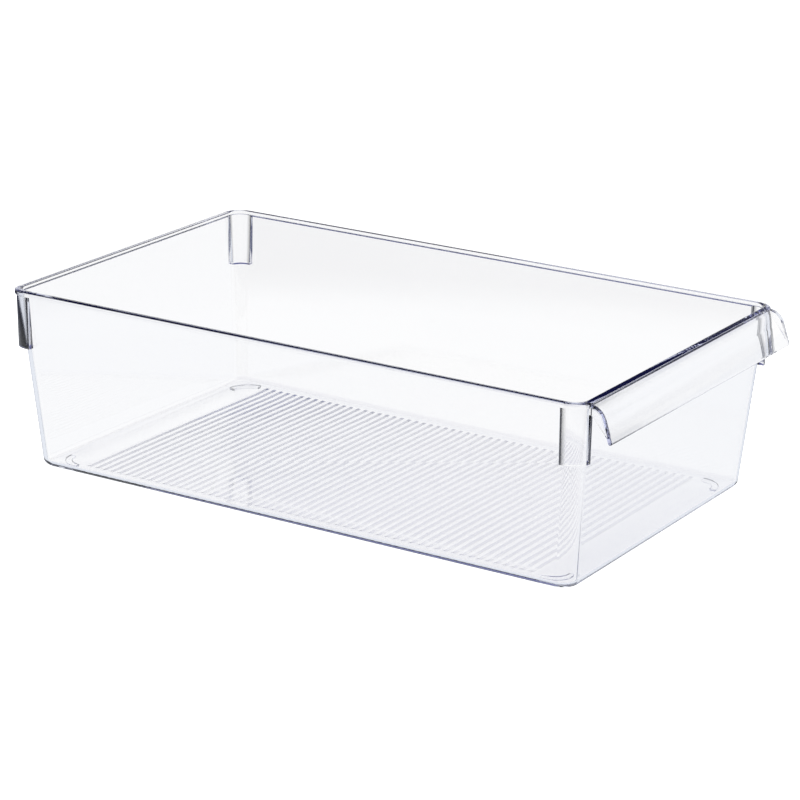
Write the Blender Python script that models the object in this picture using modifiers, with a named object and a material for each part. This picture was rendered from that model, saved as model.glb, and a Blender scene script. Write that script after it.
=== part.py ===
"""Clear fridge organizer: an open, drafted bin with a pull lip along its front.

The front of the bin, with the pull lip, faces -Y, its length runs along Y and it stands on
four low feet at Z = 0. All lengths are in metres.
"""
import math

import bmesh
import bpy
from mathutils import Matrix, Vector

# The bin, measured over its rim and from the underside of its floor
RIM_LENGTH = 0.360
RIM_WIDTH = 0.216
BIN_HEIGHT = 0.1025
WALL_THICKNESS = 0.0021
FLOOR_THICKNESS = 0.0020
WALL_DRAFT = math.radians(4.7)
BASE_OUTER_FILLET = 0.0035
BASE_INNER_FILLET = 0.0022

# The rim, a band that stands out from the top of the wall
RIM_HEIGHT = 0.0030
RIM_OVERHANG = 0.0024
RIM_CORNER_RADIUS = 0.0112
RIM_EDGE_RADIUS = 0.0007

# The pull lip: it leaves the front rim level, bends down and flares out to its lower edge
LIP_WIDTH = 0.2012
LIP_THICKNESS = 0.0023
LIP_BEND_RADIUS = 0.0085
LIP_DROP = 0.0200
LIP_FLARE = math.radians(17.0)
WEB_THICKNESS = 0.0025
WEB_ROOT_DROP = 0.0065

# The corner pads under the rim, on which a stacked bin stops
PAD_REACH_ALONG_SIDE = 0.0140
PAD_REACH_ALONG_END = 0.0110
PAD_HEIGHT = 0.0298
PAD_INSET = 0.0010
PAD_DRAFT = math.radians(0.8)
PAD_EDGE_RADIUS = 0.0007

# The ribs across the floor, low ridges that nearly touch, kept clear of the base's edges
RIB_PITCH = 0.005135
RIB_WIDTH = 0.0050
RIB_HEIGHT = 0.0003
RIB_EAVES_DEPTH = 0.00003
RIB_END_MARGIN = 0.0262
RIB_SIDE_MARGIN = 0.0109

# The feet, quarter rings concentric with the corners of the base
FOOT_HEIGHT = 0.0012
FOOT_OUTER_RADIUS = 0.0140
FOOT_WIDTH = 0.0040
FOOT_EDGE = 0.0004
FOOT_CENTRE_INSET = 0.0212

# Clearance between pieces that lie against each other
SEAT_GAP = 0.0003

# Smoothness of the arcs
CORNER_STEPS = 10
FILLET_STEPS = 5
BEND_STEPS = 10
FOOT_STEPS = 12

# Overlap by which a cutter or a joined shape passes the face that it works on
OVERLAP = 0.0004

# Points nearer than this are one point
SAME_POINT = 0.00001

# Edges turned by more than these are drawn sharp, and are rounded on the pads
SHARP_ANGLE = math.radians(35)
BEVEL_ANGLE = math.radians(60)

PLASTIC_COLOUR = (0.86, 0.88, 0.93, 1.0)
PLASTIC_ROUGHNESS = 0.04
PLASTIC_IOR = 1.58

HALF_WIDTH = RIM_WIDTH / 2
HALF_LENGTH = RIM_LENGTH / 2
WALL_TOP = BIN_HEIGHT - RIM_HEIGHT - SEAT_GAP
WALL_CORNER_RADIUS = RIM_CORNER_RADIUS - RIM_OVERHANG
RIM_UNDERSIDE = BIN_HEIGHT - RIM_HEIGHT
LIP_BEND = math.pi / 2 - LIP_FLARE


def clear_scene():
    """Start from an empty scene."""
    for scene_object in list(bpy.data.objects):
        bpy.data.objects.remove(scene_object, do_unlink=True)


def new_collection(name):
    """Make a collection in the scene."""
    collection = bpy.data.collections.new(name)
    bpy.context.scene.collection.children.link(collection)
    return collection


def clear_plastic(name):
    """Crystal-clear moulded plastic, its own material for each piece."""
    material = bpy.data.materials.new(name + "_plastic")
    material.use_nodes = True
    surface = material.node_tree.nodes["Principled BSDF"]
    surface.inputs["Base Color"].default_value = PLASTIC_COLOUR
    surface.inputs["Roughness"].default_value = PLASTIC_ROUGHNESS
    surface.inputs["Metallic"].default_value = 0.0
    surface.inputs["IOR"].default_value = PLASTIC_IOR
    surface.inputs["Transmission Weight"].default_value = 1.0
    return material


def mesh_from(name, shape):
    """Turn a bmesh into a mesh whose gentle curves are shaded smooth."""
    mesh = bpy.data.meshes.new(name)
    shape.to_mesh(mesh)
    shape.free()
    mesh.shade_smooth()
    mesh.set_sharp_from_angle(angle=SHARP_ANGLE)
    return mesh


def add_piece(name, mesh, collection, parent):
    """Place a mesh as a named piece of the organizer."""
    if not mesh.materials:
        mesh.materials.append(clear_plastic(name))
    piece = bpy.data.objects.new(name, mesh)
    piece.parent = parent
    collection.objects.link(piece)
    return piece


def add_cutter(name, mesh, collection, parent):
    """Place a mesh that only shapes other pieces."""
    cutter = bpy.data.objects.new(name, mesh)
    cutter.parent = parent
    cutter.hide_render = True
    cutter.display_type = "WIRE"
    collection.objects.link(cutter)
    return cutter


def combine(piece, other, operation):
    """Join, cut or intersect a piece with another shape."""
    modifier = piece.modifiers.new(operation.lower() + "_" + other.name, "BOOLEAN")
    modifier.operation = operation
    modifier.solver = "EXACT"
    modifier.object = other
    return modifier


def outline_ring(inset, radius, height):
    """Rounded rectangle at a height, the rim's outline drawn in by an inset."""
    centre_x = HALF_WIDTH - inset - radius
    centre_y = HALF_LENGTH - inset - radius
    ring = []
    for quarter, (side_x, side_y) in enumerate(((1, 1), (-1, 1), (-1, -1), (1, -1))):
        for step in range(CORNER_STEPS + 1):
            angle = (quarter + step / CORNER_STEPS) * math.pi / 2
            x = side_x * centre_x + radius * math.cos(angle)
            y = side_y * centre_y + radius * math.sin(angle)
            ring.append(Vector((x, y, height)))
    return ring


def loft(rings, closed):
    """Skin a run of like rings: closed on itself, or capped at its first and last ring."""
    shape = bmesh.new()
    loops = [[shape.verts.new(point) for point in ring] for ring in rings]
    count = len(rings[0])
    spans = len(loops) if closed else len(loops) - 1
    for span in range(spans):
        lower = loops[span]
        upper = loops[(span + 1) % len(loops)]
        for index in range(count):
            following = (index + 1) % count
            shape.faces.new((lower[index], lower[following], upper[following], upper[index]))
    if not closed:
        shape.faces.new(list(reversed(loops[0])))
        shape.faces.new(loops[-1])
    return shape


def add_bar(shape, outline, start_x, end_x):
    """Add a bar with an outline of (y, z) points to a shape, from one x to another."""
    face = shape.faces.new([shape.verts.new((start_x, y, z)) for y, z in outline])
    extruded = bmesh.ops.extrude_face_region(shape, geom=[face])
    moved = [part for part in extruded["geom"] if isinstance(part, bmesh.types.BMVert)]
    bmesh.ops.translate(shape, verts=moved, vec=(end_x - start_x, 0, 0))


def prism(outline, start_x, end_x):
    """Solid with an outline of (y, z) points, from one x to another."""
    shape = bmesh.new()
    add_bar(shape, outline, start_x, end_x)
    bmesh.ops.recalc_face_normals(shape, faces=shape.faces[:])
    return shape


def wall_inset(height):
    """How far the outer face of the drafted wall lies inside the rim's outline."""
    return RIM_OVERHANG + (RIM_UNDERSIDE - height) * math.tan(WALL_DRAFT)


def tub_rings():
    """Sections of the tub: up the outside of the wall and down its inside to the floor."""
    rings = []
    base_inset = wall_inset(BASE_OUTER_FILLET) + BASE_OUTER_FILLET
    turn = math.pi / 2 - WALL_DRAFT
    for step in range(FILLET_STEPS + 1):
        angle = turn * step / FILLET_STEPS
        inset = base_inset - BASE_OUTER_FILLET * math.sin(angle)
        height = BASE_OUTER_FILLET * (1 - math.cos(angle))
        rings.append(outline_ring(inset, WALL_CORNER_RADIUS, height))
    inner_radius = WALL_CORNER_RADIUS - WALL_THICKNESS
    rings.append(outline_ring(wall_inset(WALL_TOP), WALL_CORNER_RADIUS, WALL_TOP))
    rings.append(outline_ring(wall_inset(WALL_TOP) + WALL_THICKNESS, inner_radius, WALL_TOP))
    fillet_height = FLOOR_THICKNESS + BASE_INNER_FILLET
    fillet_inset = wall_inset(fillet_height) + WALL_THICKNESS + BASE_INNER_FILLET
    for step in range(FILLET_STEPS, -1, -1):
        angle = turn * step / FILLET_STEPS
        inset = fillet_inset - BASE_INNER_FILLET * math.sin(angle)
        height = FLOOR_THICKNESS + BASE_INNER_FILLET * (1 - math.cos(angle))
        rings.append(outline_ring(inset, inner_radius, height))
    return rings


def rib_outline(centre):
    """Section of a ridge round its own centre line: its roof, its eaves and its sunk foot."""
    near = centre - RIB_WIDTH / 2
    far = centre + RIB_WIDTH / 2
    eaves = FLOOR_THICKNESS - RIB_EAVES_DEPTH
    foot = FLOOR_THICKNESS - OVERLAP
    ridge = FLOOR_THICKNESS + RIB_HEIGHT
    return [(near, foot), (far, foot), (far, eaves), (centre, ridge), (near, eaves)]


def rib_ridges():
    """Low ridges across the floor, sunk a little into it so that they join it."""
    ribs = bmesh.new()
    half = HALF_WIDTH - wall_inset(0.0) - RIB_SIDE_MARGIN
    field_length = 2 * (HALF_LENGTH - wall_inset(0.0) - RIB_END_MARGIN)
    count = int(field_length / RIB_PITCH) + 1
    for number in range(count):
        centre = (number - (count - 1) / 2) * RIB_PITCH
        add_bar(ribs, rib_outline(centre), -half, half)
    bmesh.ops.recalc_face_normals(ribs, faces=ribs.faces[:])
    return ribs


def make_tub(pieces, cutters, parent):
    """The drafted wall and floor, moulded as one with the ribs across the floor."""
    tub = add_piece("tub", mesh_from("tub", loft(tub_rings(), closed=False)), pieces, parent)
    ribs = mesh_from("rib_ridges", rib_ridges())
    combine(tub, add_cutter("rib_ridges", ribs, cutters, parent), "UNION")


def rim_rings():
    """Sections of the rim: round its outer edges, over its top and down its inner face."""
    inner_inset = wall_inset(WALL_TOP) + WALL_THICKNESS
    corners = (
        (RIM_EDGE_RADIUS, RIM_UNDERSIDE + RIM_EDGE_RADIUS, -math.pi / 2),
        (RIM_EDGE_RADIUS, BIN_HEIGHT - RIM_EDGE_RADIUS, 0.0),
        (inner_inset - RIM_EDGE_RADIUS, BIN_HEIGHT - RIM_EDGE_RADIUS, math.pi / 2),
    )
    rings = []
    for centre_inset, centre_height, start in corners:
        for step in range(FILLET_STEPS + 1):
            angle = start + math.pi / 2 * step / FILLET_STEPS
            inset = centre_inset - RIM_EDGE_RADIUS * math.cos(angle)
            height = centre_height + RIM_EDGE_RADIUS * math.sin(angle)
            rings.append(outline_ring(inset, RIM_CORNER_RADIUS - inset, height))
    rings.append(outline_ring(inner_inset, RIM_CORNER_RADIUS - inner_inset, RIM_UNDERSIDE))
    return rings


def make_rim(pieces, parent):
    """The band round the top of the wall."""
    add_piece("rim", mesh_from("rim", loft(rim_rings(), closed=True)), pieces, parent)


def lip_curve(depth):
    """Points down the lip's bend at a depth below its outer face, as (y, z)."""
    points = []
    radius = LIP_BEND_RADIUS - depth
    for step in range(BEND_STEPS + 1):
        angle = LIP_BEND * step / BEND_STEPS
        y = -HALF_LENGTH - radius * math.sin(angle)
        z = BIN_HEIGHT - LIP_BEND_RADIUS + radius * math.cos(angle)
        points.append((y, z))
    return points


def lip_tip():
    """Centre of the lip's rounded lower edge, down the flare from its bend, as (y, z)."""
    tip_radius = LIP_THICKNESS / 2
    bend_radius = LIP_BEND_RADIUS - tip_radius
    bend_drop = LIP_BEND_RADIUS - bend_radius * math.cos(LIP_BEND)
    flare_drop = LIP_DROP - tip_radius - bend_drop
    y = -HALF_LENGTH - bend_radius * math.sin(LIP_BEND) - flare_drop * math.tan(LIP_FLARE)
    return y, BIN_HEIGHT - LIP_DROP + tip_radius


def lip_outline():
    """Section of the lip: its outer face, its rounded lower edge and its inner face."""
    root = -HALF_LENGTH + RIM_OVERHANG
    outline = [(root, BIN_HEIGHT)] + lip_curve(0.0)
    tip_y, tip_z = lip_tip()
    for step in range(FILLET_STEPS + 1):
        angle = math.pi - LIP_FLARE + math.pi * step / FILLET_STEPS
        y = tip_y + LIP_THICKNESS / 2 * math.cos(angle)
        z = tip_z + LIP_THICKNESS / 2 * math.sin(angle)
        outline.append((y, z))
    outline.extend(reversed(lip_curve(LIP_THICKNESS)))
    outline.append((root, BIN_HEIGHT - LIP_THICKNESS))
    return outline


def lip_reach():
    """How far the lip stands out in front of the rim."""
    return -min(y for y, z in lip_outline()) - HALF_LENGTH


def web_outline():
    """Section of an end web: from inside the lip to the straight line under it."""
    root = -HALF_LENGTH + RIM_OVERHANG
    depth = LIP_THICKNESS / 2
    outline = [(root, BIN_HEIGHT - depth)] + lip_curve(depth)
    outline.append(lip_tip())
    outline.append((-HALF_LENGTH, BIN_HEIGHT - WEB_ROOT_DROP))
    outline.append((root, BIN_HEIGHT - WEB_ROOT_DROP))
    return outline


def make_pull_handle(pieces, cutters, parent):
    """The pull lip along the front rim, with a web at each end, seated against the rim."""
    half = LIP_WIDTH / 2
    lip = prism(lip_outline(), -half, half)
    handle = add_piece("pull_handle", mesh_from("pull_handle", lip), pieces, parent)
    for side, label in ((-1, "left"), (1, "right")):
        inner_x = side * (half - WEB_THICKNESS)
        web = prism(web_outline(), inner_x, side * half)
        name = "web_" + label
        combine(handle, add_cutter(name, mesh_from(name, web), cutters, parent), "UNION")
    seat = [
        outline_ring(-SEAT_GAP, RIM_CORNER_RADIUS + SEAT_GAP, BIN_HEIGHT - LIP_DROP),
        outline_ring(-SEAT_GAP, RIM_CORNER_RADIUS + SEAT_GAP, BIN_HEIGHT + RIM_HEIGHT),
    ]
    cutter = add_cutter("rim_seat", mesh_from("rim_seat", loft(seat, False)), cutters, parent)
    combine(handle, cutter, "DIFFERENCE")


def pad_rings():
    """Sections of a collar round the wall, from which the four corner pads are taken."""
    top = RIM_UNDERSIDE - SEAT_GAP
    bottom = RIM_UNDERSIDE - PAD_HEIGHT
    bottom_inset = PAD_INSET + (top - bottom) * math.tan(PAD_DRAFT)
    seat_radius = WALL_CORNER_RADIUS + SEAT_GAP
    return [
        outline_ring(bottom_inset, RIM_CORNER_RADIUS - bottom_inset, bottom),
        outline_ring(PAD_INSET, RIM_CORNER_RADIUS - PAD_INSET, top),
        outline_ring(wall_inset(top) - SEAT_GAP, seat_radius, top),
        outline_ring(wall_inset(bottom) - SEAT_GAP, seat_radius, bottom),
    ]


def corner_block(side_x, side_y):
    """Block that keeps one corner of the collar."""
    block = bmesh.new()
    corners = bmesh.ops.create_cube(block, size=1.0)["verts"]
    reach_x = PAD_REACH_ALONG_END + OVERLAP
    reach_y = PAD_REACH_ALONG_SIDE + OVERLAP
    bmesh.ops.scale(block, verts=corners, vec=(reach_x, reach_y, BIN_HEIGHT))
    centre_x = side_x * (HALF_WIDTH - PAD_REACH_ALONG_END + reach_x / 2)
    centre_y = side_y * (HALF_LENGTH - PAD_REACH_ALONG_SIDE + reach_y / 2)
    centre = Vector((centre_x, centre_y, RIM_UNDERSIDE - PAD_HEIGHT / 2))
    bmesh.ops.translate(block, verts=corners, vec=centre)
    return block


def make_corner_pads(pieces, cutters, parent):
    """The four stop pads, each wrapped round a corner of the wall under the rim."""
    for side_x, label_x in ((-1, "left"), (1, "right")):
        for side_y, label_y in ((-1, "front"), (1, "back")):
            name = "corner_pad_" + label_y + "_" + label_x
            pad = add_piece(name, mesh_from(name, loft(pad_rings(), True)), pieces, parent)
            block_name = name + "_block"
            block = mesh_from(block_name, corner_block(side_x, side_y))
            combine(pad, add_cutter(block_name, block, cutters, parent), "INTERSECT")
            edges = pad.modifiers.new("soft_edges", "BEVEL")
            edges.width = PAD_EDGE_RADIUS
            edges.segments = 2
            edges.limit_method = "ANGLE"
            edges.angle_limit = BEVEL_ANGLE


def foot_shape():
    """Quarter ring of a low, tapered bar, centred on its own axis."""
    top = -SEAT_GAP
    bottom = -FOOT_HEIGHT
    outer = FOOT_OUTER_RADIUS
    inner = FOOT_OUTER_RADIUS - FOOT_WIDTH
    section = (
        (outer - FOOT_EDGE, bottom),
        (outer, top),
        (inner, top),
        (inner + FOOT_EDGE, bottom),
    )
    foot = bmesh.new()
    face = foot.faces.new([foot.verts.new((radius, 0, height)) for radius, height in section])
    bmesh.ops.spin(
        foot,
        geom=[face],
        cent=(0, 0, 0),
        axis=(0, 0, 1),
        angle=math.pi / 2,
        steps=FOOT_STEPS,
    )
    bmesh.ops.remove_doubles(foot, verts=foot.verts[:], dist=SAME_POINT)
    bmesh.ops.recalc_face_normals(foot, faces=foot.faces[:])
    return foot


def make_feet(pieces, parent):
    """The four feet, one mesh turned to face each corner of the base."""
    mesh = mesh_from("foot", foot_shape())
    mesh.materials.append(clear_plastic("foot"))
    centre_x = HALF_WIDTH - wall_inset(0.0) - FOOT_CENTRE_INSET
    centre_y = HALF_LENGTH - wall_inset(0.0) - FOOT_CENTRE_INSET
    corners = (
        ("back_right", 1, 1),
        ("back_left", -1, 1),
        ("front_left", -1, -1),
        ("front_right", 1, -1),
    )
    for quarter, (label, side_x, side_y) in enumerate(corners):
        foot = add_piece("foot_" + label, mesh, pieces, parent)
        foot.location = (side_x * centre_x, side_y * centre_y, 0)
        foot.rotation_euler.z = quarter * math.pi / 2


def build():
    """Make every piece and set the bin on its feet, centred over the origin."""
    clear_scene()
    pieces = new_collection("fridge_organizer")
    cutters = new_collection("cutters")
    organizer = bpy.data.objects.new("organizer", None)
    organizer.matrix_world = Matrix.Translation((0, lip_reach() / 2, FOOT_HEIGHT))
    pieces.objects.link(organizer)
    make_tub(pieces, cutters, organizer)
    make_rim(pieces, organizer)
    make_pull_handle(pieces, cutters, organizer)
    make_corner_pads(pieces, cutters, organizer)
    make_feet(pieces, organizer)


build()
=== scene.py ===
"""Looks of the clear fridge organizer: one moulding of crystal plastic on a white floor."""

import math

import bmesh
import bpy
from mathutils import Matrix, Vector


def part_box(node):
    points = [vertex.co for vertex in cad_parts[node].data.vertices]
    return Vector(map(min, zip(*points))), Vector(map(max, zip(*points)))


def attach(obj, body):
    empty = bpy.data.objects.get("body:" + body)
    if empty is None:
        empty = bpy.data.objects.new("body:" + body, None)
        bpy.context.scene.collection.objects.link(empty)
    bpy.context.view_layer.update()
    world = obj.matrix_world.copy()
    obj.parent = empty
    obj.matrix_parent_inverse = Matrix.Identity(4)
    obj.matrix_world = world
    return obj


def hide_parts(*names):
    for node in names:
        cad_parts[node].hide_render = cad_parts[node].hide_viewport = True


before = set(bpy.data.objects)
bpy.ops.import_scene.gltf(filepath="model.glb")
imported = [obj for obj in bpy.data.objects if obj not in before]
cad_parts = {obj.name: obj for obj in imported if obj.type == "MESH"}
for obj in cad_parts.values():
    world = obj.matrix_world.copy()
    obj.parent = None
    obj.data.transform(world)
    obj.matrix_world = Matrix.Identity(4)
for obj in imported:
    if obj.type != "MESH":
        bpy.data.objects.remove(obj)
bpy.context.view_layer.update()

# Camera
# A long lens at the photograph's height and side, with the slight tilt of the picture's
# horizon. It aims a little below the middle of the bin.
CAMERA_AIM = Vector((0.0013, 0.0001, 0.0450))
CAMERA_DISTANCE = 1.6678
CAMERA_AZIMUTH = math.radians(-57.89)
CAMERA_ELEVATION = math.radians(18.25)
CAMERA_ROLL = math.radians(0.80)
CAMERA_LENS = 136.69
SENSOR_WIDTH = 36.0

turn = Matrix.Rotation(CAMERA_AZIMUTH, 4, "Z")
tilt = Matrix.Rotation(math.radians(90) - CAMERA_ELEVATION, 4, "X")
roll = Matrix.Rotation(CAMERA_ROLL, 4, "Z")
back_off = Matrix.Translation((0, 0, CAMERA_DISTANCE))
camera = bpy.data.objects.new("camera", bpy.data.cameras.new("camera"))
camera.data.lens = CAMERA_LENS
camera.data.sensor_width = SENSOR_WIDTH
camera.matrix_world = Matrix.Translation(CAMERA_AIM) @ turn @ tilt @ roll @ back_off
bpy.context.scene.collection.objects.link(camera)
bpy.context.scene.camera = camera

# Clear moulding
# The whole organizer is one shot of crystal-clear polystyrene: drafted walls, ribbed floor,
# rim, pull lip, corner pads and feet. The shell's section is carried round its outline by
# Geometry Nodes, and the other features are joined to it.
rim_low, rim_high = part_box("rim")
tub_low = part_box("tub")[0]
lip_low, lip_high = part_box("pull_handle")
HALF_WIDTH = rim_high.x
HALF_LENGTH = (rim_high.y - rim_low.y) / 2
CENTRE_Y = (rim_high.y + rim_low.y) / 2
FLOOR_LEVEL = tub_low.z
RIM_TOP = rim_high.z

WALL_THICKNESS = 0.0021
FLOOR_THICKNESS = 0.0020
WALL_DRAFT = math.radians(4.7)
WALL_CORNER_RADIUS = 0.0088
BASE_OUTER_FILLET = 0.0035
BASE_INNER_FILLET = 0.0022
RIM_HEIGHT = 0.0030
RIM_OVERHANG = 0.0024
RIM_CORNER_RADIUS = 0.0112
RIM_EDGE_RADIUS = 0.0007
RIM_ROOT_FILLET = 0.0006
RIM_CROWN = 0.0004
CORNER_STEPS = 20
FILLET_STEPS = 12
WELD_DISTANCE = 0.000001

# Overlap by which joined shapes pass each other
OVERLAP = 0.0004


def wall_inset(height):
    """How far the outer face of the drafted wall lies inside the rim's outline."""
    return RIM_OVERHANG + (RIM_TOP - RIM_HEIGHT - height) * math.tan(WALL_DRAFT)


def arc(centre_inset, centre_height, radius, start, end):
    """Points (inset, height) of an arc in the shell's section; angle 0 points outward."""
    points = []
    for step in range(FILLET_STEPS + 1):
        angle = start + (end - start) * step / FILLET_STEPS
        inset = centre_inset - radius * math.cos(angle)
        points.append((inset, centre_height + radius * math.sin(angle)))
    return points


def shell_section():
    """Section of the shell as (inset, corner radius, height), from under the floor to its top."""
    quarter = math.pi / 2
    underside = RIM_TOP - RIM_HEIGHT
    section = [(HALF_WIDTH, 0.0, FLOOR_LEVEL)]
    fillet_height = FLOOR_LEVEL + BASE_OUTER_FILLET
    fillet_inset = wall_inset(fillet_height) + BASE_OUTER_FILLET
    for inset, height in arc(fillet_inset, fillet_height, BASE_OUTER_FILLET, -quarter, 0.0):
        section.append((inset, WALL_CORNER_RADIUS, height))
    root_inset = wall_inset(underside - RIM_ROOT_FILLET) - RIM_ROOT_FILLET
    for step in range(FILLET_STEPS + 1):
        angle = quarter * step / FILLET_STEPS
        inset = root_inset + RIM_ROOT_FILLET * math.cos(angle)
        height = underside - RIM_ROOT_FILLET + RIM_ROOT_FILLET * math.sin(angle)
        section.append((inset, RIM_CORNER_RADIUS - inset, height))
    edge = RIM_EDGE_RADIUS
    inner_inset = RIM_OVERHANG + WALL_THICKNESS
    rounded = arc(edge, underside + edge, edge, -quarter, 0.0)
    top = arc(edge, RIM_TOP - edge, edge, 0.0, quarter)
    for step in range(1, FILLET_STEPS):
        top.append((edge + (inner_inset - 2 * edge) * step / FILLET_STEPS, RIM_TOP))
    top += arc(inner_inset - edge, RIM_TOP - edge, edge, quarter, 2 * quarter)
    for inset, height in top:
        from_middle = inset / inner_inset * 2 - 1
        rounded.append((inset, height - RIM_CROWN * from_middle ** 2))
    for inset, height in rounded:
        section.append((inset, RIM_CORNER_RADIUS - inset, height))
    inner_radius = WALL_CORNER_RADIUS - WALL_THICKNESS
    floor_top = FLOOR_LEVEL + FLOOR_THICKNESS
    fillet_height = floor_top + BASE_INNER_FILLET
    fillet_inset = wall_inset(fillet_height) + WALL_THICKNESS + BASE_INNER_FILLET
    inner_fillet = arc(fillet_inset, fillet_height, BASE_INNER_FILLET, -quarter, 0.0)
    for inset, height in reversed(inner_fillet):
        section.append((inset, inner_radius, height))
    section.append((HALF_WIDTH, 0.0, floor_top))
    return section


def add_object(name, mesh):
    """Place a mesh in the scene."""
    new_object = bpy.data.objects.new(name, mesh)
    bpy.context.scene.collection.objects.link(new_object)
    return new_object


def mesh_from(name, shape):
    """Turn a bmesh into a mesh."""
    mesh = bpy.data.meshes.new(name)
    shape.to_mesh(mesh)
    shape.free()
    return mesh


def baked(source):
    """Replace an object's mesh by its result, and drop its modifiers."""
    bpy.context.view_layer.update()
    depsgraph = bpy.context.evaluated_depsgraph_get()
    mesh = bpy.data.meshes.new_from_object(source.evaluated_get(depsgraph))
    source.modifiers.clear()
    source.data = mesh
    return source


def add_node(tree, kind, *feeds, stops=(), **settings):
    """Add a node with its settings and links.

    Feeds go to its inputs in their order, and each setting to the property or the input of
    its name. A socket is linked, and a node is linked by its first output. Stops are the
    values and colours of a colour ramp.
    """
    node = tree.nodes.new(kind)
    inputs = dict(enumerate(feeds))
    for name, value in settings.items():
        if hasattr(node, name):
            setattr(node, name, value)
        else:
            inputs[name.replace("_", " ")] = value
    for name, value in inputs.items():
        if isinstance(value, bpy.types.Node):
            value = value.outputs[0]
        if isinstance(value, bpy.types.NodeSocket):
            tree.links.new(value, node.inputs[name])
        else:
            node.inputs[name].default_value = value
    if stops:
        elements = node.color_ramp.elements
        while len(elements) < len(stops):
            elements.new(0.5)
        for element, (position, colour) in zip(elements, stops):
            element.position = position
            element.color = colour
    return node


def node_group(name, inputs):
    """Geometry Nodes group with a geometry and named inputs, and its input and output nodes."""
    tree = bpy.data.node_groups.new(name, "GeometryNodeTree")
    tree.interface.new_socket("Geometry", in_out="INPUT", socket_type="NodeSocketGeometry")
    for label, kind in inputs:
        tree.interface.new_socket(label, in_out="INPUT", socket_type=kind)
    tree.interface.new_socket("Geometry", in_out="OUTPUT", socket_type="NodeSocketGeometry")
    return tree, tree.nodes.new("NodeGroupInput"), tree.nodes.new("NodeGroupOutput")


def finish_group(tree, geometry, output):
    """End a group in Realize Instances and Set Material."""
    realize = add_node(tree, "GeometryNodeRealizeInstances", geometry)
    paint = add_node(tree, "GeometryNodeSetMaterial", realize, Material=plastic)
    tree.links.new(paint.outputs[0], output.inputs[0])


def grow(target, tree, values):
    """Run a node group on an object with values for its named inputs, and bake the result."""
    modifier = target.modifiers.new(tree.name, "NODES")
    modifier.node_group = tree
    for item in tree.interface.items_tree:
        if item.in_out == "INPUT" and item.name in values:
            modifier[item.identifier] = values[item.name]
    return baked(target)


plastic = bpy.data.materials.new("clear_polystyrene_painted_edge_shade")
MATH = "ShaderNodeMath"

# The shell: a grid whose columns are the section's points and whose rows go round the
# outline. Each row is a step of one of the four corners, and the section's inset and corner
# radius say how far from the middle it stands.
tree, group_in, group_out = node_group("rounded_shell", (
    ("Half Width", "NodeSocketFloat"),
    ("Half Length", "NodeSocketFloat"),
    ("Centre Y", "NodeSocketFloat"),
    ("Corner Steps", "NodeSocketInt"),
))
points = add_node(tree, "GeometryNodeAttributeDomainSize", group_in.outputs["Geometry"])
corner_rows = add_node(tree, MATH, group_in.outputs["Corner Steps"], 1, operation="ADD")
rows = add_node(tree, MATH, corner_rows, 4, 1, operation="MULTIPLY_ADD")
grid = add_node(
    tree,
    "GeometryNodeMeshGrid",
    Vertices_X=points.outputs["Point Count"],
    Vertices_Y=rows,
)
index = add_node(tree, "GeometryNodeInputIndex")
index_middle = add_node(tree, MATH, index, 0.5, operation="ADD")
columns_passed = add_node(tree, MATH, index_middle, rows, operation="DIVIDE")
column = add_node(tree, MATH, columns_passed, operation="FLOOR")
column_start = add_node(tree, MATH, column, rows, operation="MULTIPLY")
row = add_node(tree, MATH, index, column_start, operation="SUBTRACT")
row_middle = add_node(tree, MATH, row, 0.5, operation="ADD")
corners_passed = add_node(tree, MATH, row_middle, corner_rows, operation="DIVIDE")
corner = add_node(tree, MATH, corners_passed, operation="FLOOR")
corner_start = add_node(tree, MATH, corner, corner_rows, operation="MULTIPLY")
step = add_node(tree, MATH, row, corner_start, operation="SUBTRACT")
share = add_node(tree, MATH, step, group_in.outputs["Corner Steps"], operation="DIVIDE")
turned = add_node(tree, MATH, corner, share, operation="ADD")
angle = add_node(tree, MATH, turned, math.pi / 2, operation="MULTIPLY")
half_turned = add_node(tree, MATH, corner, 0.5, operation="ADD")
corner_angle = add_node(tree, MATH, half_turned, math.pi / 2, operation="MULTIPLY")
sample = add_node(
    tree,
    "GeometryNodeSampleIndex",
    data_type="FLOAT_VECTOR",
    Geometry=group_in.outputs["Geometry"],
    Value=add_node(tree, "GeometryNodeInputPosition"),
    Index=column,
)
section_inset, section_radius, section_height = add_node(
    tree, "ShaderNodeSeparateXYZ", sample
).outputs
drawn_in = add_node(tree, MATH, section_inset, section_radius, operation="ADD")
reach = []
for label, function in (("Half Width", "COSINE"), ("Half Length", "SINE")):
    toward_corner = add_node(tree, MATH, corner_angle, operation=function)
    side = add_node(tree, MATH, toward_corner, operation="SIGN")
    room = add_node(tree, MATH, group_in.outputs[label], drawn_in, operation="SUBTRACT")
    straight = add_node(tree, MATH, side, room, operation="MULTIPLY")
    bent = add_node(tree, MATH, angle, operation=function)
    bend = add_node(tree, MATH, section_radius, bent, operation="MULTIPLY")
    reach.append(add_node(tree, MATH, straight, bend, operation="ADD"))
shell_y = add_node(tree, MATH, reach[1], group_in.outputs["Centre Y"], operation="ADD")
point = add_node(tree, "ShaderNodeCombineXYZ", reach[0], shell_y, section_height)
placed = add_node(tree, "GeometryNodeSetPosition", Geometry=grid, Position=point)
weld = add_node(tree, "GeometryNodeMergeByDistance", placed, Distance=WELD_DISTANCE)
outward = add_node(tree, "GeometryNodeFlipFaces", weld)
finish_group(tree, outward, group_out)

section = shell_section()
section_mesh = bpy.data.meshes.new("shell_section")
section_mesh.from_pydata(section, [(n, n + 1) for n in range(len(section) - 1)], [])
moulding = grow(add_object("clear_moulding", section_mesh), tree, {
    "Half Width": HALF_WIDTH,
    "Half Length": HALF_LENGTH,
    "Centre Y": CENTRE_Y,
    "Corner Steps": CORNER_STEPS,
})

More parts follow.
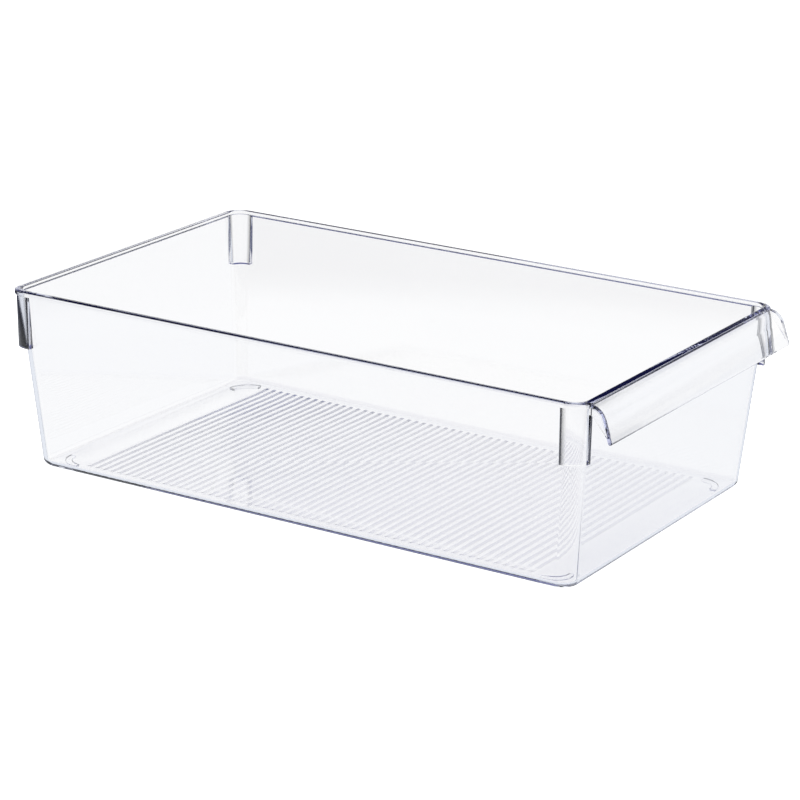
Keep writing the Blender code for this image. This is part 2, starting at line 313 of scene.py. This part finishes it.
# The pull lip: falls gently from the inside of the front rim, then is bent down and flared,
# with a thin web at each end. The rim's top is trimmed away where the lip passes over it.
LIP_THICKNESS = 0.0023
LIP_TILT = math.radians(8.0)
LIP_EASE_RADIUS = 0.0443
LIP_EASE = math.radians(16.0)
LIP_BEND_RADIUS = 0.0087
LIP_FLARE = math.radians(18.5)
LIP_BEND = math.pi / 2 - LIP_FLARE
LIP_EDGE_RADIUS = 0.0007
LIP_EDGE_LIMIT = math.radians(50)
LIP_ROOT_INSET = 0.0040
WEB_THICKNESS = 0.0025
WEB_ROOT_DROP = 0.0065
EASE_STEPS = 10
BEND_STEPS = 24
SOFT_EDGE_STEPS = 8
TRIM_MARGIN = 0.0011
LIP_FRONT = rim_low.y
LIP_START = LIP_FRONT + LIP_ROOT_INSET
LIP_BOTTOM = lip_low.z
LIP_HALF = lip_high.x


def lip_curve(depth):
    """Points down the lip's bend at a depth below its outer face, as (y, z)."""
    points = []
    centre_y = LIP_START + LIP_EASE_RADIUS * math.sin(LIP_TILT)
    centre_z = RIM_TOP - LIP_EASE_RADIUS * math.cos(LIP_TILT)
    radius = LIP_EASE_RADIUS - depth
    for step in range(EASE_STEPS + 1):
        angle = LIP_TILT + (LIP_EASE - LIP_TILT) * step / EASE_STEPS
        points.append((centre_y - radius * math.sin(angle), centre_z + radius * math.cos(angle)))
    centre_y -= (LIP_EASE_RADIUS - LIP_BEND_RADIUS) * math.sin(LIP_EASE)
    centre_z += (LIP_EASE_RADIUS - LIP_BEND_RADIUS) * math.cos(LIP_EASE)
    radius = LIP_BEND_RADIUS - depth
    for step in range(1, BEND_STEPS + 1):
        angle = LIP_EASE + (LIP_BEND - LIP_EASE) * step / BEND_STEPS
        points.append((centre_y - radius * math.sin(angle), centre_z + radius * math.cos(angle)))
    return points


def lip_tip():
    """Centre of the lip's rounded lower edge, down the flare from its bend, as (y, z)."""
    tip_radius = LIP_THICKNESS / 2
    bend_y, bend_z = lip_curve(tip_radius)[-1]
    tip_z = LIP_BOTTOM + tip_radius
    return bend_y - (bend_z - tip_z) * math.tan(LIP_FLARE), tip_z


def lip_outline():
    """Section of the lip: its outer face, its rounded lower edge and its inner face."""
    outline = lip_curve(0.0)
    tip_y, tip_z = lip_tip()
    for step in range(2 * FILLET_STEPS + 1):
        angle = math.pi - LIP_FLARE + math.pi * step / FILLET_STEPS / 2
        y = tip_y + LIP_THICKNESS / 2 * math.cos(angle)
        z = tip_z + LIP_THICKNESS / 2 * math.sin(angle)
        outline.append((y, z))
    outline.extend(reversed(lip_curve(LIP_THICKNESS)))
    return outline


def web_outline():
    """Section of an end web: from inside the lip to the straight line under it."""
    outline = lip_curve(LIP_THICKNESS / 2)
    outline.append(lip_tip())
    outline.append((LIP_FRONT, RIM_TOP - WEB_ROOT_DROP))
    outline.append((LIP_START, RIM_TOP - WEB_ROOT_DROP))
    return outline


def trim_outline():
    """Section of what is trimmed off the rim: all that stands above the lip's outer face."""
    outline = []
    for y, z in lip_curve(OVERLAP / 2):
        if LIP_FRONT - TRIM_MARGIN < y < LIP_START - OVERLAP:
            outline.append((y, z))
    outline.insert(0, (outline[0][0], RIM_TOP + TRIM_MARGIN))
    outline.append((outline[-1][0], RIM_TOP + TRIM_MARGIN))
    return outline


def prism(outline, start_x, end_x):
    """Solid with an outline of (y, z) points, from one x to another."""
    shape = bmesh.new()
    face = shape.faces.new([shape.verts.new((start_x, y, z)) for y, z in outline])
    extruded = bmesh.ops.extrude_face_region(shape, geom=[face])
    moved = [part for part in extruded["geom"] if isinstance(part, bmesh.types.BMVert)]
    bmesh.ops.translate(shape, verts=moved, vec=(end_x - start_x, 0, 0))
    bmesh.ops.recalc_face_normals(shape, faces=shape.faces[:])
    return shape


def soften(target, width, limit):
    """Round the edges of a shape that turn by more than a limit, and bake it."""
    modifier = target.modifiers.new("soft_edges", "BEVEL")
    modifier.width = width
    modifier.segments = SOFT_EDGE_STEPS
    modifier.limit_method = "ANGLE"
    modifier.angle_limit = limit
    return baked(target)


def combine(target, others, operation):
    """Join an object to other shapes, or cut it by them, and take them out of the scene."""
    for other in others:
        modifier = target.modifiers.new("combine", "BOOLEAN")
        modifier.operation = operation
        modifier.solver = "EXACT"
        modifier.object = other
    baked(target)
    for other in others:
        bpy.data.objects.remove(other)


trim = prism(trim_outline(), TRIM_MARGIN - LIP_HALF, LIP_HALF - TRIM_MARGIN)
combine(moulding, [add_object("trim", mesh_from("trim", trim))], "DIFFERENCE")
lip = add_object("lip", mesh_from("lip", prism(lip_outline(), -LIP_HALF, LIP_HALF)))
joined = [soften(lip, LIP_EDGE_RADIUS, LIP_EDGE_LIMIT)]
for side in (-1, 1):
    web = prism(web_outline(), side * (LIP_HALF - WEB_THICKNESS), side * (LIP_HALF - OVERLAP))
    joined.append(add_object("web", mesh_from("web", web)))

# The corner pads: one round each corner, under the rim. Each is a block of a collar round the
# wall, whose outer face has a slight draft.
PAD_REACH_ALONG_SIDE = 0.0140
PAD_REACH_ALONG_END = 0.0110
PAD_HEIGHT = 0.0298
PAD_INSET = 0.0010
PAD_DRAFT = math.radians(0.8)
PAD_EDGE_RADIUS = 0.0012
PAD_EDGE_LIMIT = math.radians(60)
PAD_CORNER_STEPS = 17


def outline_ring(inset, radius, height):
    """Rounded rectangle at a height, the rim's outline drawn in by an inset."""
    centre_x = HALF_WIDTH - inset - radius
    centre_y = HALF_LENGTH - inset - radius
    ring = []
    for quarter, (side_x, side_y) in enumerate(((1, 1), (-1, 1), (-1, -1), (1, -1))):
        for step in range(PAD_CORNER_STEPS + 1):
            angle = (quarter + step / PAD_CORNER_STEPS) * math.pi / 2
            x = side_x * centre_x + radius * math.cos(angle)
            y = CENTRE_Y + side_y * centre_y + radius * math.sin(angle)
            ring.append(Vector((x, y, height)))
    return ring


def pad_collar():
    """Collar round the wall, from which the four corner pads are taken."""
    top = RIM_TOP - RIM_HEIGHT
    bottom = top - PAD_HEIGHT
    bottom_inset = PAD_INSET + (top - bottom) * math.tan(PAD_DRAFT)
    rings = (
        outline_ring(bottom_inset, RIM_CORNER_RADIUS - bottom_inset, bottom),
        outline_ring(PAD_INSET, RIM_CORNER_RADIUS - PAD_INSET, top + OVERLAP),
        outline_ring(wall_inset(top) + OVERLAP, WALL_CORNER_RADIUS, top + OVERLAP),
        outline_ring(wall_inset(bottom) + OVERLAP, WALL_CORNER_RADIUS, bottom),
    )
    shape = bmesh.new()
    loops = [[shape.verts.new(point) for point in ring] for ring in rings]
    for lower, upper in zip(loops, loops[1:] + loops[:1]):
        for near in range(len(lower)):
            far = (near + 1) % len(lower)
            shape.faces.new((lower[near], lower[far], upper[far], upper[near]))
    return shape


def corner_block(side_x, side_y):
    """Block that keeps one corner of the collar."""
    block = bmesh.new()
    corners = bmesh.ops.create_cube(block, size=1.0)["verts"]
    reach_x = PAD_REACH_ALONG_END + OVERLAP
    reach_y = PAD_REACH_ALONG_SIDE + OVERLAP
    bmesh.ops.scale(block, verts=corners, vec=(reach_x, reach_y, RIM_TOP))
    centre_x = side_x * (HALF_WIDTH - PAD_REACH_ALONG_END + reach_x / 2)
    centre_y = CENTRE_Y + side_y * (HALF_LENGTH - PAD_REACH_ALONG_SIDE + reach_y / 2)
    centre = Vector((centre_x, centre_y, RIM_TOP - RIM_HEIGHT - PAD_HEIGHT / 2))
    bmesh.ops.translate(block, verts=corners, vec=centre)
    return block


for side_x in (-1, 1):
    for side_y in (-1, 1):
        pad = add_object("pad", mesh_from("pad", pad_collar()))
        block = add_object("block", mesh_from("block", corner_block(side_x, side_y)))
        combine(pad, [block], "INTERSECT")
        joined.append(soften(pad, PAD_EDGE_RADIUS, PAD_EDGE_LIMIT))

# The feet: quarter rings moulded under the base, one inside each of its corners, which carry
# the organizer on a shelf. Each is a section spun round a quarter turn.
FOOT_OUTER_RADIUS = 0.0140
FOOT_WIDTH = 0.0040
FOOT_EDGE = 0.0004
FOOT_CENTRE_INSET = 0.0212
FOOT_STEPS = 24
FOOT_WELD = 0.00001


def foot_shape(quarter, centre):
    """Quarter ring of a low, tapered bar round a centre, turned by quarters."""
    outer = FOOT_OUTER_RADIUS
    inner = FOOT_OUTER_RADIUS - FOOT_WIDTH
    top = FLOOR_LEVEL + OVERLAP
    section = ((outer - FOOT_EDGE, 0.0), (outer, top), (inner, top), (inner + FOOT_EDGE, 0.0))
    foot = bmesh.new()
    face = foot.faces.new([foot.verts.new((radius, 0, height)) for radius, height in section])
    bmesh.ops.spin(
        foot,
        geom=[face],
        cent=(0, 0, 0),
        axis=(0, 0, 1),
        angle=math.pi / 2,
        steps=FOOT_STEPS,
    )
    bmesh.ops.remove_doubles(foot, verts=foot.verts[:], dist=FOOT_WELD)
    bmesh.ops.recalc_face_normals(foot, faces=foot.faces[:])
    place = Matrix.Translation(centre) @ Matrix.Rotation(quarter * math.pi / 2, 4, "Z")
    bmesh.ops.transform(foot, matrix=place, verts=foot.verts[:])
    return foot


base_inset = wall_inset(FLOOR_LEVEL)
foot_x = HALF_WIDTH - base_inset - FOOT_CENTRE_INSET
foot_y = HALF_LENGTH - base_inset - FOOT_CENTRE_INSET
for quarter, (side_x, side_y) in enumerate(((1, 1), (-1, 1), (-1, -1), (1, -1))):
    centre = Vector((side_x * foot_x, CENTRE_Y + side_y * foot_y, 0))
    joined.append(add_object("foot", mesh_from("foot", foot_shape(quarter, centre))))

# The ribs: low ridges moulded across the floor, side by side along its length. One ridge is
# repeated along a line, and sunk a little into the floor.
RIB_PITCH = 0.005135
RIB_BASE = 0.0050
RIB_HEIGHT = 0.00016
RIB_SINK = 0.00003
RIB_COUNT = 56
RIB_SIDE_MARGIN = 0.0109


def rib_outline():
    """Section of a ridge, sunk a little into the floor, as (y, z)."""
    floor_top = FLOOR_LEVEL + FLOOR_THICKNESS
    half = RIB_BASE / 2
    return [
        (-half, floor_top - OVERLAP),
        (half, floor_top - OVERLAP),
        (half, floor_top - RIB_SINK),
        (0.0, floor_top + RIB_HEIGHT),
        (-half, floor_top - RIB_SINK),
    ]


tree, group_in, group_out = node_group("rib_row", (
    ("Count", "NodeSocketInt"),
    ("Pitch", "NodeSocketFloat"),
    ("Middle Y", "NodeSocketFloat"),
))
gaps = add_node(tree, MATH, group_in.outputs["Count"], 1, operation="SUBTRACT")
row_length = add_node(tree, MATH, gaps, group_in.outputs["Pitch"], operation="MULTIPLY")
half_row = add_node(tree, MATH, row_length, 0.5, operation="MULTIPLY")
first_y = add_node(tree, MATH, group_in.outputs["Middle Y"], half_row, operation="SUBTRACT")
line = add_node(
    tree,
    "GeometryNodeMeshLine",
    Count=group_in.outputs["Count"],
    Start_Location=add_node(tree, "ShaderNodeCombineXYZ", Y=first_y),
    Offset=add_node(tree, "ShaderNodeCombineXYZ", Y=group_in.outputs["Pitch"]),
)
copies = add_node(
    tree,
    "GeometryNodeInstanceOnPoints",
    Points=line,
    Instance=group_in.outputs["Geometry"],
)
finish_group(tree, copies, group_out)

rib_half = HALF_WIDTH - base_inset - RIB_SIDE_MARGIN
rib = add_object("ribs", mesh_from("rib", prism(rib_outline(), -rib_half, rib_half)))
rib_values = {"Count": RIB_COUNT, "Pitch": RIB_PITCH, "Middle Y": CENTRE_Y}
joined.append(grow(rib, tree, rib_values))

# All features are one shot of plastic. Its curves are smooth, and the ridges keep crisp edges
# though they turn by less than the angle from which an edge is sharp.
SHARP_ANGLE = math.radians(30)
SLACK = 0.00001

combine(moulding, joined, "UNION")
moulding.data.shade_smooth()
moulding.data.set_sharp_from_angle(angle=SHARP_ANGLE)
for edge in moulding.data.edges:
    ends = [moulding.data.vertices[number].co for number in edge.vertices]
    rises = [end.z - FLOOR_LEVEL - FLOOR_THICKNESS for end in ends]
    on_ribs = max(abs(end.x) for end in ends) < rib_half + SLACK
    if on_ribs and min(rises) > -SLACK and max(rises) < 2 * RIB_HEIGHT:
        edge.use_edge_sharp = True

# The plastic: crystal polystyrene, injection moulded. It is clear across a wall and pale blue
# along it. Two painted shades stand for light that a studio's dark parts would swallow: navy
# painted shade where the surface is seen at a low angle, and black painted shade at the pads'
# upright ends. Faint flow waves from the mould, about 20 mm long, bend what is seen through the
# walls.
PLASTIC_IOR = 1.58
PLASTIC_TINT = "#A0AAED"
PLASTIC_TINT_PER_METRE = 3.0
CLEAR = "#FFFFFF"
EDGE_SHADE_NAVY = "#191D3F"
EDGE_CLEAR = 0.34
EDGE_DARK = 0.50
PAD_END_SHADE_BLACK = "#040407"
PAD_END_START = 0.00020
PAD_END_FULL = 0.0010
PAD_END_FADE = 0.0036
PAD_END_SPAN = 0.0040
PAD_SKIN_OUTER = 0.0005
PAD_SKIN_INNER = 0.0027
FLOW_WAVES_PER_METRE = 45.0
FLOW_WAVE_DETAIL = 1.0
FLOW_WAVE_HEIGHT = 0.00002


def linear(hex_colour):
    """Linear colour of an sRGB hex value."""
    colour = []
    for start in (1, 3, 5):
        value = int(hex_colour[start:start + 2], 16) / 255
        if value <= 0.04045:
            colour.append(value / 12.92)
        else:
            colour.append(((value + 0.055) / 1.055) ** 2.4)
    return (*colour, 1.0)


def in_pad_skin(tree, distance, half):
    """One where a distance from the middle is that of the pads' outer skin, else nought."""
    inside = add_node(tree, MATH, distance, half - PAD_SKIN_INNER, operation="GREATER_THAN")
    outside = add_node(tree, MATH, distance, half - PAD_SKIN_OUTER, operation="LESS_THAN")
    return add_node(tree, MATH, inside, outside, operation="MULTIPLY")


plastic.use_nodes = True
tree = plastic.node_tree
surface = tree.nodes["Principled BSDF"]
surface.inputs["Roughness"].default_value = 0.0
surface.inputs["IOR"].default_value = PLASTIC_IOR
surface.inputs["Transmission Weight"].default_value = 1.0
# Painted navy shade: the base colour darkens where the surface is seen at a low angle
low_angle = add_node(tree, "ShaderNodeFresnel", IOR=PLASTIC_IOR)
edge_painted_shade = add_node(tree, "ShaderNodeValToRGB", low_angle, stops=(
    (EDGE_CLEAR, linear(CLEAR)),
    (EDGE_DARK, linear(EDGE_SHADE_NAVY)),
))

# How far a point of a pad's outer skin lies from the pad's end, along a side or an end wall,
# which places the painted black shade at the pads' ends
place = add_node(tree, "ShaderNodeTexCoord")
spot = add_node(tree, "ShaderNodeSeparateXYZ", place.outputs["Object"])
from_centre = add_node(tree, MATH, spot.outputs["Y"], CENTRE_Y, operation="SUBTRACT")
across = add_node(tree, MATH, spot.outputs["X"], operation="ABSOLUTE")
along = add_node(tree, MATH, from_centre, operation="ABSOLUTE")
depths = []
for distance, other, half, other_half, pad_reach in (
    (along, across, HALF_LENGTH, HALF_WIDTH, PAD_REACH_ALONG_SIDE),
    (across, along, HALF_WIDTH, HALF_LENGTH, PAD_REACH_ALONG_END),
):
    from_end = add_node(tree, MATH, distance, half - pad_reach, operation="SUBTRACT")
    skin = in_pad_skin(tree, other, other_half)
    depths.append(add_node(tree, MATH, from_end, skin, operation="MULTIPLY"))
deepest = add_node(tree, MATH, *depths, operation="MAXIMUM")
below_rim = add_node(
    tree, MATH, spot.outputs["Z"], RIM_TOP - RIM_HEIGHT, operation="LESS_THAN"
)
pad_depth = add_node(tree, MATH, deepest, below_rim, operation="MULTIPLY")
pad_share = add_node(tree, MATH, pad_depth, PAD_END_SPAN, operation="DIVIDE")
# Painted black shade at the pads' upright ends, fading to clear further along the pad
pad_end_painted_shade = add_node(tree, "ShaderNodeValToRGB", pad_share, stops=(
    (0.0, linear(CLEAR)),
    (PAD_END_START / PAD_END_SPAN, linear(PAD_END_SHADE_BLACK)),
    (PAD_END_FULL / PAD_END_SPAN, linear(PAD_END_SHADE_BLACK)),
    (PAD_END_FADE / PAD_END_SPAN, linear(CLEAR)),
))
# Both painted shades darken the base colour together
painted_shades = add_node(
    tree,
    "ShaderNodeMix",
    data_type="RGBA",
    blend_type="MULTIPLY",
    Factor=1.0,
    A=edge_painted_shade,
    B=pad_end_painted_shade,
)

waves = add_node(
    tree,
    "ShaderNodeTexNoise",
    Vector=place.outputs["Object"],
    Scale=FLOW_WAVES_PER_METRE,
    Detail=FLOW_WAVE_DETAIL,
)
relief = add_node(tree, "ShaderNodeBump", Distance=FLOW_WAVE_HEIGHT, Height=waves)
absorb = add_node(
    tree,
    "ShaderNodeVolumeAbsorption",
    Color=linear(PLASTIC_TINT),
    Density=PLASTIC_TINT_PER_METRE,
)
tree.links.new(painted_shades.outputs["Result"], surface.inputs["Base Color"])
tree.links.new(relief.outputs[0], surface.inputs["Normal"])
tree.links.new(absorb.outputs[0], tree.nodes["Material Output"].inputs["Volume"])
moulding.data.materials.clear()
moulding.data.materials.append(plastic)
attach(moulding, "root")
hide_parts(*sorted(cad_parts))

# Floor
# A large white table top under the feet: sprayed matt paint, whose grain is drawn at about a
# millimetre, coarser than it is. It keeps the organizer's faint shadow and is white to the
# camera and through the plastic. Mirrored, it glows with painted light, pale nearby and on the
# softbox's side, and with dark painted shade elsewhere.
FLOOR_HALF_SIZE = 4.0
FLOOR_DROP = 0.0002
FLOOR_PAINT_LOW = "#E3E3E3"
FLOOR_PAINT_HIGH = "#EBEBEB"
FLOOR_GRAIN_PER_METRE = 900.0
FLOOR_GLOW = 0.97
UNREFLECTED = 0.5
TABLE_PAINTED_LIGHT = "#E7EBF3"
TABLE_PAINTED_SHADE = "#383F69"
TABLE_REACH = 0.40
TABLE_END = 0.50
LIT_SIDE = Vector((0.966, -0.259, 0.0))
LIT_START = 0.55
LIT_FULL = 0.85
WHITE = "#FFFFFF"
BLACK = "#000000"


def white_through(tree, colour):
    """White for what is seen straight through the plastic, and a colour for reflected rays."""
    path = add_node(tree, "ShaderNodeLightPath")
    reflected = add_node(
        tree, MATH, path.outputs["Glossy Depth"], UNREFLECTED, operation="GREATER_THAN"
    )
    blend = add_node(
        tree,
        "ShaderNodeMix",
        data_type="RGBA",
        Factor=reflected,
        A=linear(WHITE),
        B=colour,
    )
    return blend.outputs["Result"]


floor_shape = bmesh.new()
bmesh.ops.create_grid(floor_shape, x_segments=1, y_segments=1, size=FLOOR_HALF_SIZE)
bmesh.ops.translate(floor_shape, verts=floor_shape.verts[:], vec=(0, 0, -FLOOR_DROP))
floor = add_object("floor", mesh_from("floor", floor_shape))
paint = bpy.data.materials.new("white_table_with_painted_light")
paint.use_nodes = True
tree = paint.node_tree
tree.nodes.clear()
path = add_node(tree, "ShaderNodeLightPath")
spot = add_node(tree, "ShaderNodeNewGeometry").outputs["Position"]
grain = add_node(tree, "ShaderNodeTexNoise", Vector=spot, Scale=FLOOR_GRAIN_PER_METRE)
speckle = add_node(tree, "ShaderNodeValToRGB", grain, stops=(
    (0.0, linear(FLOOR_PAINT_LOW)),
    (1.0, linear(FLOOR_PAINT_HIGH)),
))
# Painted light and shade seen in reflections: pale near the organizer and toward the softbox,
# dark further off
away = add_node(tree, "ShaderNodeVectorMath", spot, operation="LENGTH")
bearing = add_node(tree, "ShaderNodeVectorMath", spot, operation="NORMALIZE")
toward = add_node(tree, "ShaderNodeVectorMath", bearing, LIT_SIDE, operation="DOT_PRODUCT")
far_painted_light_and_shade = add_node(tree, "ShaderNodeValToRGB", toward.outputs["Value"], stops=(
    (LIT_START, linear(TABLE_PAINTED_SHADE)),
    (LIT_FULL, linear(TABLE_PAINTED_LIGHT)),
))
far = add_node(tree, "ShaderNodeValToRGB", away.outputs["Value"], stops=(
    (TABLE_REACH, linear(BLACK)),
    (TABLE_END, linear(WHITE)),
))
mirrored_painted_light_and_shade = add_node(
    tree,
    "ShaderNodeMix",
    data_type="RGBA",
    Factor=far,
    A=linear(TABLE_PAINTED_LIGHT),
    B=far_painted_light_and_shade,
)
seen = add_node(
    tree,
    "ShaderNodeEmission",
    Color=white_through(tree, mirrored_painted_light_and_shade.outputs["Result"]),
    Strength=1.0,
)
glow_strength = add_node(
    tree, MATH, path.outputs["Is Camera Ray"], FLOOR_GLOW, operation="MULTIPLY"
)
glow = add_node(tree, "ShaderNodeEmission", Strength=glow_strength)
diffuse = add_node(tree, "ShaderNodeBsdfDiffuse", Color=speckle)
both = add_node(tree, "ShaderNodeAddShader", diffuse, glow)
through = add_node(
    tree,
    MATH,
    path.outputs["Is Glossy Ray"],
    path.outputs["Is Transmission Ray"],
    operation="MAXIMUM",
)
choice = add_node(tree, "ShaderNodeMixShader", through, both, seen)
add_node(tree, "ShaderNodeOutputMaterial", Surface=choice)
floor.data.materials.append(paint)

# Studio
# A white sweep all round the table up to a low edge, a dark navy room above it, and one white
# softbox high on the side of +X. What is seen past or straight through the plastic is white,
# and only its reflections show the table, the room and the softbox.
SWEEP_WHITE = "#FFFFFF"
STUDIO_DARK = "#383C89"
SOFTBOX_WHITE = "#FFFFFF"
SWEEP_EDGE = 0.32
DARK_START = 0.43
SOFTBOX_DIRECTION = Vector((0.82, -0.22, 0.52)).normalized()
SOFTBOX_CORE = math.cos(math.radians(22))
SOFTBOX_EDGE = math.cos(math.radians(29))

world = bpy.data.worlds.new("studio")
bpy.context.scene.world = world
world.use_nodes = True
tree = world.node_tree
direction = add_node(tree, "ShaderNodeTexCoord").outputs["Generated"]
height = add_node(tree, "ShaderNodeSeparateXYZ", direction).outputs["Z"]
sky = add_node(tree, "ShaderNodeValToRGB", height, stops=(
    (SWEEP_EDGE, linear(SWEEP_WHITE)),
    (DARK_START, linear(STUDIO_DARK)),
))
nearness = add_node(
    tree, "ShaderNodeVectorMath", direction, SOFTBOX_DIRECTION, operation="DOT_PRODUCT"
)
patch = add_node(tree, "ShaderNodeValToRGB", nearness.outputs["Value"], stops=(
    (SOFTBOX_EDGE, linear(BLACK)),
    (SOFTBOX_CORE, linear(WHITE)),
))
lit = add_node(
    tree,
    "ShaderNodeMix",
    data_type="RGBA",
    Factor=patch,
    A=sky,
    B=linear(SOFTBOX_WHITE),
)
backdrop = white_through(tree, lit.outputs["Result"])
tree.links.new(backdrop, tree.nodes["Background"].inputs["Color"])

# Picture
# Light has to cross and run along many thin walls, so its paths are long. Colours are shown
# as they are written, without a film curve.
LIGHT_BOUNCES = 32

scene = bpy.context.scene
scene.view_settings.view_transform = "Standard"
scene.cycles.max_bounces = LIGHT_BOUNCES
scene.cycles.glossy_bounces = LIGHT_BOUNCES
scene.cycles.transmission_bounces = LIGHT_BOUNCES
